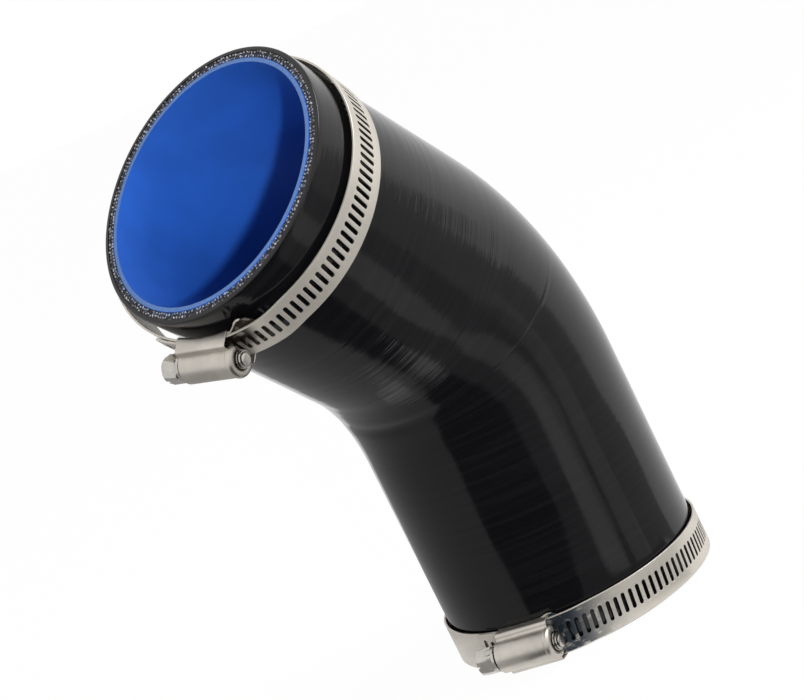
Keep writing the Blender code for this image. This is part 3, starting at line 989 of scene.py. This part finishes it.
def worm_tree():
    """Geometry nodes that wind a tapered bar into the thread of the worm."""
    tree, given = new_tree("worm_thread", Int=["Turns", "Steps"], Float=[
        "Pitch", "Root Radius", "Height", "Crest", "Base", "Start",
    ])
    rows = times(tree, given["Turns"], given["Steps"])
    bar = add_node(tree, "GeometryNodeMeshCube", {
        "Size": (1.0, 1.0, 1.0), "Vertices X": plus(tree, rows, 1.0),
        "Vertices Y": 3, "Vertices Z": 3,
    })
    along, aside, up = split(tree, point_place(tree))
    up = plus(tree, up, 0.5)
    turns = times(tree, plus(tree, along, 0.5), given["Turns"])
    from_end = calculate(tree, "MINIMUM", turns, minus(tree, given["Turns"], turns))
    fade = ramp(tree, from_end, 0.0, 0.5, 0.2, 1.0)
    width = add_node(tree, "ShaderNodeMix", {
        "Factor": up, "A": given["Base"], "B": given["Crest"],
    }, data_type="FLOAT")
    height = times(tree, times(tree, given["Height"], fade), up)
    sunk = times(tree, minus(tree, 1.0, up), -THREAD_SINK)
    radius = plus(tree, plus(tree, given["Root Radius"], height), sunk)
    z = plus(tree, times(tree, turns, given["Pitch"]), given["Start"])
    z = plus(tree, z, times(tree, aside, width.outputs[0]))
    x, y = polar(tree, radius, times(tree, turns, 2 * math.pi))
    return end_tree(tree, given, set_position(tree, bar.outputs[0], combine(tree, x, y, z)))


def hexagon(across, limit):
    """Radius of a hexagon with slightly rounded corners, cut back to a limit."""
    def radius(angle):
        aside = (angle % (math.pi / 3)) - math.pi / 6
        return min(across / 2 / math.cos(math.pi / 6 - abs(aside)), limit)
    return radius


# Places along the screw's axis from the middle of its thread, and radii, in millimetres
NOSE_SECTION = (
    (-12.5, 1.0), (-12.45, 1.8), (-12.3, 2.05), (-12.1, 2.1), (-12.0, 1.6), (-11.8, 1.6),
    (-11.7, 2.5), (-11.4, 2.6), (-11.3, 1.9), (-11.0, 1.9), (-10.9, 2.75), (-10.6, 2.8),
    (-10.5, 2.3), (-8.9, 2.3), (-8.5, 2.6),
)
COLLAR = 9.9
HEAD = COLLAR + 1.2
HEAD_END = HEAD + 5.6
HEAD_ACROSS = 7.8
HEAD_CORNER = 0.985 * HEAD_ACROSS / math.sqrt(3.0)


def shank_mesh(clamp):
    """Nose, core, collar and hexagon head of the screw, turned in one piece."""
    root = (clamp.thread_radius - clamp.thread_height) / MM
    section = [
        *NOSE_SECTION, (-8.0, root), (COLLAR, root), (COLLAR, 3.95), (COLLAR + 0.12, 4.15),
        (COLLAR + 0.3, 4.2), (HEAD - 0.2, 4.2), (HEAD, 4.05),
    ]
    rings = [turned_ring(place * MM, radius * MM) for place, radius in section]
    for place, across, limit in (
        (HEAD + 0.05, 1.0, 3.95), (HEAD + 0.3, 1.0, HEAD_CORNER),
        (HEAD_END - 1.0, 1.0, HEAD_CORNER),
        (HEAD_END - 0.4, 1.0, 4.0), (HEAD_END - 0.1, 0.95, 3.55), (HEAD_END, 0.86, 3.2),
    ):
        rings.append(turned_ring(place * MM, hexagon(HEAD_ACROSS * across * MM, limit * MM)))
    return lofted(rings)


# Size of the block that cuts the screwdriver slot, half of it above the head
DRIVER_CUTTER = Vector((20.0, 1.1, 2.6)) * MM


def cut_driver_slot(mesh):
    """Cut the screwdriver slot across the end of the head."""
    tool = bmesh.new()
    bmesh.ops.create_cube(tool, size=1.0)
    for vertex in tool.verts:
        vertex.co = vertex.co * DRIVER_CUTTER + Vector((0.0, 0.0, HEAD_END * MM))
    cutter_mesh = bpy.data.meshes.new("cutter")
    tool.to_mesh(cutter_mesh)
    tool.free()
    cutter = add_object("cutter", cutter_mesh)
    blank = add_object("blank", mesh)
    cut = blank.modifiers.new("slot", "BOOLEAN")
    cut.operation = "DIFFERENCE"
    cut.object = cutter
    cut.solver = "EXACT"
    graph = bpy.context.evaluated_depsgraph_get()
    result = bpy.data.meshes.new_from_object(blank.evaluated_get(graph), depsgraph=graph)
    for item in (cutter, blank):
        bpy.data.objects.remove(item)
    return result


def make_screw(name, clamp, tree, material):
    """The worm screw: threaded shank, collar and hexagon head."""
    pitch = clamp_settings().pitch
    start = -(THREAD_TURNS / 2 + 0.5 - THREAD_PHASE / (2 * math.pi)) * pitch
    thread = grow(tree, bpy.data.meshes.new("empty"), {
        "Turns": THREAD_TURNS, "Pitch": pitch, "Steps": 36, "Start": start,
        "Root Radius": clamp.thread_radius - clamp.thread_height,
        "Height": clamp.thread_height, "Crest": 0.7 * MM, "Base": 1.3 * MM, "Material": material,
    })
    thread.transform(Matrix.Rotation(THREAD_PHASE, 4, "Z"))
    shank = repainted(cut_driver_slot(shank_mesh(clamp)), material)
    mesh = join_meshes([face_outwards(thread), shank])
    mesh.transform(clamp.screw_place())
    body = name.split("_")[0] + "_screw"
    return finish_piece(name + "_worm", mesh, [name + "_screw"], 32.0, body)


# Materials

def new_material(name):
    material = bpy.data.materials.new(name)
    material.use_nodes = True
    tree = material.node_tree
    return material, tree, tree.nodes["Principled BSDF"]


def attribute(tree, name, output="Fac"):
    return add_node(tree, "ShaderNodeAttribute", attribute_name=name).outputs[output]


def noise(tree, vector, scale, detail=2.0, roughness=0.5):
    """Noise whose scale is counted per metre, for one or for all three axes."""
    if isinstance(scale, tuple):
        vector = add_node(tree, "ShaderNodeMapping", {"Vector": vector, "Scale": scale}).outputs[0]
        scale = 1.0
    node = add_node(tree, "ShaderNodeTexNoise", {
        "Vector": vector, "Scale": scale, "Detail": detail, "Roughness": roughness,
    })
    return node.outputs[0]


def toned(tone, share):
    """A colour's linear channels, each times a share and at most 1."""
    return tuple(min(channel * share, 1.0) for channel in tone)


def mix_colour(tree, factor, first, second):
    node = add_node(tree, "ShaderNodeMix", data_type="RGBA")
    for index, value in ((0, factor), (6, first), (7, second)):
        if isinstance(value, bpy.types.NodeSocket):
            tree.links.new(value, node.inputs[index])
        elif index == 0:
            node.inputs[index].default_value = value
        else:
            node.inputs[index].default_value = (*tuple(value)[:3], 1.0)
    return node.outputs[2]


def bump(tree, shader, height, strength, distance):
    node = add_node(tree, "ShaderNodeBump", {
        "Height": height, "Strength": strength, "Distance": distance,
    })
    tree.links.new(node.outputs[0], shader.inputs["Normal"])


SILICONE_IOR = 1.42


def cover_material():
    """Black silicone cured under wound tape, which leaves fine lines round the hose."""
    material, tree, shader = new_material("tape_wrapped_black_silicone")
    place = attribute(tree, "tube_place", "Vector")
    broad = noise(tree, place, (14.0, 14.0, 60.0))
    patches = noise(tree, place, (38.0, 38.0, 26.0), 1.0)
    lines = noise(tree, place, (24.0, 24.0, 680.0))
    fine = noise(tree, place, (90.0, 90.0, 2200.0))
    # The lines are deeper toward the upper leg
    depth = ramp(tree, split(tree, place)[2], 0.085, 0.15, 0.25, 0.6)
    depth = times(tree, ramp(tree, patches, 0.4, 0.7, 0.3, 1.0), depth)
    relief = times(tree, calculate(tree, "MULTIPLY_ADD", fine, 0.3, lines), depth)
    relief = calculate(tree, "MULTIPLY_ADD", broad, 1.4, relief)
    bump(tree, shader, relief, 1.0, 0.16 * MM)
    base = tuple(hose_settings().cover_colour)
    # The base colour is a little lighter along the tape lines
    lighter_on_lines = tuple(min(channel * 1.5 + 0.001, 1.0) for channel in base)
    tree.links.new(mix_colour(tree, ramp(tree, lines, 0.35, 0.75), base, lighter_on_lines),
                   shader.inputs["Base Color"])
    tree.links.new(ramp(tree, broad, 0.3, 0.7, 0.09, 0.15), shader.inputs["Roughness"])
    shader.inputs["IOR"].default_value = SILICONE_IOR
    return material


def liner_material():
    """Blue silicone: smooth from the mandrel in the bore, paler where it is cut."""
    material, tree, shader = new_material("moulded_blue_silicone")
    place = attribute(tree, "tube_place", "Vector")
    cut = attribute(tree, "cut_face")
    cloud = noise(tree, place, 45.0, 3.0)
    grain = noise(tree, place, 900.0, 3.0)
    sizes = hose_settings()
    bore, face = tuple(sizes.bore_colour), tuple(sizes.cut_colour)
    bore = mix_colour(tree, ramp(tree, cloud, 0.3, 0.7), toned(bore, 0.8), bore)
    face = mix_colour(tree, ramp(tree, grain, 0.35, 0.7), face, toned(face, 1.12))
    tree.links.new(mix_colour(tree, cut, bore, face), shader.inputs["Base Color"])
    rough = minus(tree, ramp(tree, cut, 0.0, 1.0, 0.55, 0.65), 0.05)
    rough = calculate(tree, "MULTIPLY_ADD", cloud, 0.1, rough)
    tree.links.new(rough, shader.inputs["Roughness"])
    bump(tree, shader, grain, 0.12, 0.1 * MM)
    shader.inputs["IOR"].default_value = SILICONE_IOR
    return material


def ply_material():
    """Rubbered fabric seen from its cut edge: dark rubber between plies of yarn."""
    material, tree, shader = new_material("cut_rubbered_fabric")
    place = attribute(tree, "tube_place", "Vector")
    speckle = noise(tree, place, 1500.0, 3.0, 0.7)
    clumps = ramp(tree, noise(tree, place, 500.0), 0.3, 0.6)
    shade = times(tree, ramp(tree, speckle, 0.45, 0.7), clumps)
    tree.links.new(mix_colour(tree, shade, colour("#17171A"), colour("#6E6E74")),
                   shader.inputs["Base Color"])
    bump(tree, shader, speckle, 0.8, 0.2 * MM)
    shader.inputs["Roughness"].default_value = 0.8
    return material


def yarn_material():
    """White reinforcing yarn, frayed by the knife, darker grey in random patches and blue near the
    liner.
    """
    material, tree, shader = new_material("frayed_white_yarn")
    place = add_node(tree, "ShaderNodeTexCoord").outputs["Object"]
    patches = ramp(tree, noise(tree, place, 900.0), 0.35, 0.62)
    yarn = mix_colour(tree, patches, colour("#3C3C42"), tuple(hose_settings().yarn_colour))
    near = times(tree, attribute(tree, "near_liner"), 0.45)
    tree.links.new(mix_colour(tree, near, yarn, colour("#7088B4")), shader.inputs["Base Color"])
    bump(tree, shader, noise(tree, place, 4000.0), 0.5, 0.1 * MM)
    shader.inputs["Roughness"].default_value = 0.85
    return material


def strip_material(film_and_shade_colour):
    """Cold rolled stainless strip: rolling lines, slot walls with painted shade, and near the
    screw a dark film that is partly oil and partly painted shade.
    """
    material, tree, shader = new_material("rolled_stainless_strip")
    place = attribute(tree, "strip_place", "Vector")
    lines = noise(tree, place, (60.0, 2600.0, 300.0), 3.0, 0.6)
    cloud = noise(tree, place, (40.0, 120.0, 120.0))
    smear = noise(tree, place, (260.0, 420.0, 300.0), 3.0, 0.6)
    base = tuple(clamp_settings().strip_colour)
    steel = mix_colour(tree, ramp(tree, cloud, 0.3, 0.7), toned(base, 0.88), base)
    film_and_shade = times(tree, attribute(tree, "oiled"), ramp(tree, smear, 0.25, 0.5, 0.35, 1.0))
    # The dark film, partly oil and partly painted shade, stays off the sheared edges
    edge = clamp_settings().width / 2
    aside = calculate(tree, "ABSOLUTE", split(tree, place)[1])
    film_and_shade = times(tree, film_and_shade, ramp(tree, aside, edge - 0.4 * MM, edge - 0.2 * MM, 1.0, 0.0))
    # Painted shade: the dark film is partly oil and partly a dark reflection painted into the
    # steel
    steel = mix_colour(tree, film_and_shade, steel, colour(film_and_shade_colour))
    # Painted shade: the slot walls are painted near black, where shade falls inside the slots
    slot_wall_shade = times(tree, attribute(tree, "slot_wall_shade"), 0.9)
    steel = mix_colour(tree, slot_wall_shade, steel, colour("#14110F"))
    tree.links.new(steel, shader.inputs["Base Color"])
    tree.links.new(ramp(tree, lines, 0.3, 0.7, 0.38, 0.5), shader.inputs["Roughness"])
    bump(tree, shader, lines, 0.25, 0.03 * MM)
    # Less than a full metal: the strip's satin skin also scatters some light
    shader.inputs["Metallic"].default_value = 0.75
    return material


def steel_material(name, tone, dull, cloud, marks, rough, relief):
    """Steel with cloudy tone and fine marks; each noise is its scale, detail and roughness."""
    material, tree, shader = new_material(name)
    place = add_node(tree, "ShaderNodeTexCoord").outputs["Object"]
    marks, cloud = noise(tree, place, *marks), ramp(tree, noise(tree, place, cloud), 0.3, 0.7)
    tree.links.new(mix_colour(tree, cloud, toned(tone, dull), tuple(tone)),
                   shader.inputs["Base Color"])
    tree.links.new(ramp(tree, marks, 0.3, 0.7, *rough), shader.inputs["Roughness"])
    bump(tree, shader, marks, *relief)
    shader.inputs["Metallic"].default_value = 1.0
    return material


def housing_material():
    """Pressed stainless sheet: satin, with faint draw marks."""
    return steel_material(
        "pressed_stainless_sheet", clamp_settings().housing_colour, 0.84, 110.0,
        (700.0, 4.0, 0.6), (0.34, 0.46), (0.2, 0.04 * MM),
    )


def screw_material():
    """Turned and zinc plated steel screw with fine tool marks."""
    return steel_material(
        "plated_screw_steel", clamp_settings().screw_colour, 0.86, 260.0,
        (1200.0, 3.0, 0.6), (0.18, 0.32), (0.06, 0.02 * MM),
    )


# Operators

class HOSE_OT_cover(bpy.types.Operator):
    """Black outer layer with its tape lines and the seam across the bend"""

    bl_idname = "elbow_hose.cover"
    bl_label = "Outer Cover"

    def execute(self, context):
        sizes = hose_settings()
        inner = COVER_RADIUS - sizes.cover
        straight = tube_mesh(inner, COVER_RADIUS, sizes.rounding, COVER_SIDES, seam_relief)
        mesh = grow(bend_tree(), straight, bend_values(cover_material()))
        finish_piece("cover", mesh, ["outer_cover"], 60.0)
        return {"FINISHED"}


class HOSE_OT_liner(bpy.types.Operator):
    """Blue inner layer, paler on its cut ends"""

    bl_idname = "elbow_hose.liner"
    bl_label = "Inner Liner"

    def execute(self, context):
        sizes = hose_settings()
        bore = sizes.bore / 2
        straight = tube_mesh(bore, bore + sizes.liner, LINER_ROUNDING, LINER_SIDES)
        mesh = grow(bend_tree(), straight, bend_values(liner_material()))
        finish_piece("liner", mesh, ["inner_liner"], 60.0)
        return {"FINISHED"}


class HOSE_OT_plies(bpy.types.Operator):
    """Woven reinforcement between the two rubber layers"""

    bl_idname = "elbow_hose.plies"
    bl_label = "Fabric Plies"

    def execute(self, context):
        sizes = hose_settings()
        inner = sizes.bore / 2 + sizes.liner
        outer = inner + sizes.plies
        straight = tube_mesh(
            inner, outer, PLIES_ROUNDING, LINER_SIDES, inset=sizes.ply_inset
        )
        mesh = grow(bend_tree(), straight, bend_values(ply_material()))
        finish_piece("plies", mesh, ["fabric_plies"], 60.0)
        return {"FINISHED"}


class HOSE_OT_yarn_ends(bpy.types.Operator):
    """Frayed yarn ends on both cut faces"""

    bl_idname = "elbow_hose.yarn_ends"
    bl_label = "Yarn Ends"

    def execute(self, context):
        sizes = hose_settings()
        yarn = add_object("yarn", yarn_mesh())
        values = bend_values(yarn_material())
        values.update({
            "Yarn": yarn, "Count": sizes.yarns, "Row Step": sizes.plies / 2,
            "Inner Radius": sizes.bore / 2 + sizes.liner, "Jitter": YARN_JITTER,
            "Yarn Size": sizes.yarn_size, "Seed": YARN_SEED, "Length": hose_length(),
        })
        mesh = grow(yarn_tree(), bpy.data.meshes.new("empty"), values)
        bpy.data.objects.remove(yarn)
        finish_piece("yarn_ends", mesh, [], 60.0)
        return {"FINISHED"}


class HOSE_OT_strips(bpy.types.Operator):
    """Slotted strips of both clamps"""

    bl_idname = "elbow_hose.strips"
    bl_label = "Clamp Strips"

    def execute(self, context):
        tree = strip_tree()
        for name, clamp in both_clamps().items():
            make_strip(name, clamp, tree, strip_material(clamp.film_and_shade))
        return {"FINISHED"}


class HOSE_OT_housings(bpy.types.Operator):
    """Pressed housings of both clamps"""

    bl_idname = "elbow_hose.housings"
    bl_label = "Clamp Housings"

    def execute(self, context):
        material = housing_material()
        for name, clamp in both_clamps().items():
            make_housing(name, clamp, material)
        return {"FINISHED"}


class HOSE_OT_screws(bpy.types.Operator):
    """Worm screws of both clamps"""

    bl_idname = "elbow_hose.screws"
    bl_label = "Clamp Screws"

    def execute(self, context):
        tree, material = worm_tree(), screw_material()
        for name, clamp in both_clamps().items():
            make_screw(name, clamp, tree, material)
        return {"FINISHED"}


class HOSE_OT_stage(bpy.types.Operator):
    """Floor, backdrop, lamps and camera"""

    bl_idname = "elbow_hose.stage"
    bl_label = "Stage"

    def execute(self, context):
        make_floor()
        make_world()
        make_lamps()
        make_cards()
        make_camera()
        context.scene.view_settings.view_transform = "Standard"
        return {"FINISHED"}


# Stage

WHITE = (1.0, 1.0, 1.0, 1.0)


def bare_tree(holder):
    """The emptied node tree of a material or a world."""
    holder.use_nodes = True
    holder.node_tree.nodes.clear()
    return holder.node_tree


def seen_share(tree):
    """1 for rays that should meet the plain white background, else 0."""
    rays = add_node(tree, "ShaderNodeLightPath")
    seen = calculate(tree, "MAXIMUM", rays.outputs["Is Camera Ray"], rays.outputs["Is Glossy Ray"])
    return calculate(tree, "MAXIMUM", seen, rays.outputs["Is Transmission Ray"])


FLOOR_HALF = 6


def make_floor():
    """Pale floor that keeps the object's shadow on a white ground."""
    corners = ((-1, -1), (1, -1), (1, 1), (-1, 1))
    points = [(x * FLOOR_HALF, y * FLOOR_HALF, 0) for x, y in corners]
    mesh = mesh_from(points, [(0, 1, 2, 3)], "floor")
    material = bpy.data.materials.new("pale_floor_paper")
    tree = bare_tree(material)
    tone = (*stage_settings().floor_colour, 1.0)
    matt = add_node(tree, "ShaderNodeBsdfDiffuse", {"Color": tone})
    glow = add_node(tree, "ShaderNodeEmission", {"Color": WHITE, "Strength": 1.0})
    mixed = add_node(tree, "ShaderNodeMixShader", {
        0: times(tree, seen_share(tree), stage_settings().floor_share),
        1: matt.outputs[0], 2: glow.outputs[0],
    })
    add_node(tree, "ShaderNodeOutputMaterial", {"Surface": mixed.outputs[0]})
    mesh.materials.append(material)
    floor = add_object("floor", mesh)


def make_world():
    """White background for what is seen, softer light for what it falls on."""
    world = bpy.data.worlds.new("studio")
    tree = bare_tree(world)
    fill, white = (
        add_node(tree, "ShaderNodeBackground", {"Color": WHITE, "Strength": strength}).outputs[0]
        for strength in (stage_settings().fill, 1.0)
    )
    mixed = add_node(tree, "ShaderNodeMixShader", {0: seen_share(tree), 1: fill, 2: white})
    add_node(tree, "ShaderNodeOutputWorld", {"Surface": mixed.outputs[0]})
    bpy.context.scene.world = world


def add_lamp(name, place, target, power, width, height, spread=180.0):
    """A rectangular lamp that faces a target."""
    data = bpy.data.lights.new(name, "AREA")
    data.shape = "RECTANGLE"
    data.size, data.size_y = width, height
    data.energy = power
    data.spread = math.radians(spread)
    lamp = add_object(name, data)
    lamp.location = place
    lamp.rotation_euler = (Vector(target) - Vector(place)).to_track_quat("-Z", "Y").to_euler()
    return lamp


# Place and target of each gridded strip in millimetres, and its share of their power
GRIDS = (
    ("left_grid", (-7, -82, 46), (7.6, -35, 56.5), 0.6),
    ("right_grid", (22, -86, 46), (14.5, -39, 56), 1.0),
)

# Each gridded strip is a wide lamp and a narrow one over it: width in metres, share
GRID_PARTS = ((0.018, 0.55), (0.009, 0.45))
GRID_HEIGHT = 0.088
GRID_SPREAD = 60.0


KEY = {"place": (0.45, -0.75, 1.1), "target": (0.0, 0.0, 0.1), "width": 0.7, "height": 0.7}
MOUTH_LAMP = {
    "place": (-1.094, -1.068, 0.245), "target": (-0.0425, 0.0, 0.179),
    "width": 0.06, "height": 0.06,
}


def make_lamps():
    """A large soft lamp, a small one that shines into the mouth, and two gridded strips."""
    settings = stage_settings()
    add_lamp("key", power=settings.key, **KEY)
    mouth = add_lamp("mouth_lamp", power=settings.mouth_lamp, **MOUTH_LAMP)
    mouth.visible_glossy = False
    for name, place, target, share in GRIDS:
        place, target = (Vector(point) * MM for point in (place, target))
        for width, part in GRID_PARTS:
            power = settings.strips * share * part
            lamp = add_lamp(name, place, target, power, width, GRID_HEIGHT, GRID_SPREAD)
            lamp.visible_camera = lamp.visible_diffuse = False


# Each card: how bright it shines, and its outline on the floor in millimetres
CARDS = {
    "front_card": (0.05, (
        (-25, -8), (-65, 3), (-116, 16), (-175, 36), (-262, 50), (-700, 90), (-700, -750),
        (-420, -520), (-215, -262), (-115, -160), (-62, -78), (-30, -42),
    )),
    "shade_card": (0.27, (
        (-30, -42), (-62, -78), (-115, -160), (-215, -262), (-420, -520), (-180, -520),
        (-95, -290), (-58, -174), (-24, -84), (20, -84), (60, -90), (30, -48),
    )),
    "rear_card": (0.43, (
        (-25, -8), (-65, 3), (-116, 16), (-175, 36), (-262, 50), (-700, 90), (-900, 120),
        (-900, 900), (500, 900), (150, 300), (60, 62), (31, 66), (-10, 52), (-28, 20),
    )),
    "left_card": (0.66, (
        (-24, -84), (-58, -174), (-95, -290), (-180, -520), (40, -520), (-5, -277), (4, -174),
        (4, -84),
    )),
    "right_card": (0.3, (
        (4, -84), (4, -174), (-5, -277), (40, -520), (130, -520), (88, -277), (58, -170),
        (28, -84),
    )),
    "side_card": (0.46, (
        (28, -84), (58, -170), (88, -277), (130, -520), (900, -900), (1800, -1050), (800, -610),
        (420, -430), (250, -290), (185, -165), (92, -96), (60, -66), (50, -90),
    )),
}


def make_cards():
    """Grey cards on the floor beside the hose, seen only in its shine."""
    for name, (tone, outline) in CARDS.items():
        points = [(x * MM, y * MM, 0.6 * MM) for x, y in outline]
        mesh = mesh_from(points, [tuple(range(len(points)))], name)
        material = bpy.data.materials.new(name + "_paper")
        tree = bare_tree(material)
        glow = add_node(tree, "ShaderNodeEmission", {"Color": WHITE, "Strength": tone})
        add_node(tree, "ShaderNodeOutputMaterial", {"Surface": glow.outputs[0]})
        mesh.materials.append(material)
        card = add_object(name, mesh)
        for ray in ("camera", "diffuse", "transmission", "volume_scatter", "shadow"):
            setattr(card, "visible_" + ray, False)


CAMERA_LENS = 99.185
CAMERA_SENSOR = 36.0
CAMERA_PLACE = Vector((-0.5264, -0.4107, 0.2225))
CAMERA_RIGHT = Vector((0.48800, -0.75511, -0.43779))
CAMERA_UP = Vector((0.39573, -0.25565, 0.88207))


def make_camera():
    """Camera at the photograph's viewing angle."""
    data = bpy.data.cameras.new("camera")
    data.lens = CAMERA_LENS
    data.sensor_width = CAMERA_SENSOR
    data.sensor_fit = "HORIZONTAL"
    data.clip_start, data.clip_end = 0.01, 50.0
    camera = add_object("camera", data)
    back = CAMERA_RIGHT.cross(CAMERA_UP)
    camera.matrix_world = axes_matrix(CAMERA_RIGHT, CAMERA_UP, back, CAMERA_PLACE)
    bpy.context.scene.camera = camera


OPERATORS = (
    HOSE_OT_cover, HOSE_OT_liner, HOSE_OT_plies, HOSE_OT_yarn_ends, HOSE_OT_strips,
    HOSE_OT_housings, HOSE_OT_screws, HOSE_OT_stage,
)


class HOSE_PT_panel(bpy.types.Panel):
    """Sizes, colours and buttons of the elbow hose"""

    bl_idname = "HOSE_PT_panel"
    bl_label = "Elbow Hose"
    bl_space_type = "VIEW_3D"
    bl_region_type = "UI"
    bl_category = "Elbow Hose"

    def draw(self, context):
        layout = self.layout
        for settings in (hose_settings(), clamp_settings(), stage_settings()):
            box = layout.box()
            for name in settings.__annotations__:
                box.prop(settings, name)
        for operator in OPERATORS:
            layout.operator(operator.bl_idname)


CLASSES = (HoseSettings, ClampSettings, StageSettings, *OPERATORS, HOSE_PT_panel)


def register():
    for item in CLASSES:
        bpy.utils.register_class(item)
    bpy.types.Scene.elbow_hose = bpy.props.PointerProperty(type=HoseSettings)
    bpy.types.Scene.elbow_clamps = bpy.props.PointerProperty(type=ClampSettings)
    bpy.types.Scene.elbow_stage = bpy.props.PointerProperty(type=StageSettings)


def unregister():
    del bpy.types.Scene.elbow_stage
    del bpy.types.Scene.elbow_clamps
    del bpy.types.Scene.elbow_hose
    for item in reversed(CLASSES):
        bpy.utils.unregister_class(item)


def main():
    register()
    bpy.ops.elbow_hose.cover()
    bpy.ops.elbow_hose.liner()
    bpy.ops.elbow_hose.plies()
    bpy.ops.elbow_hose.yarn_ends()
    bpy.ops.elbow_hose.strips()
    bpy.ops.elbow_hose.housings()
    bpy.ops.elbow_hose.screws()
    bpy.ops.elbow_hose.stage()


if __name__ == "__main__":
    main()
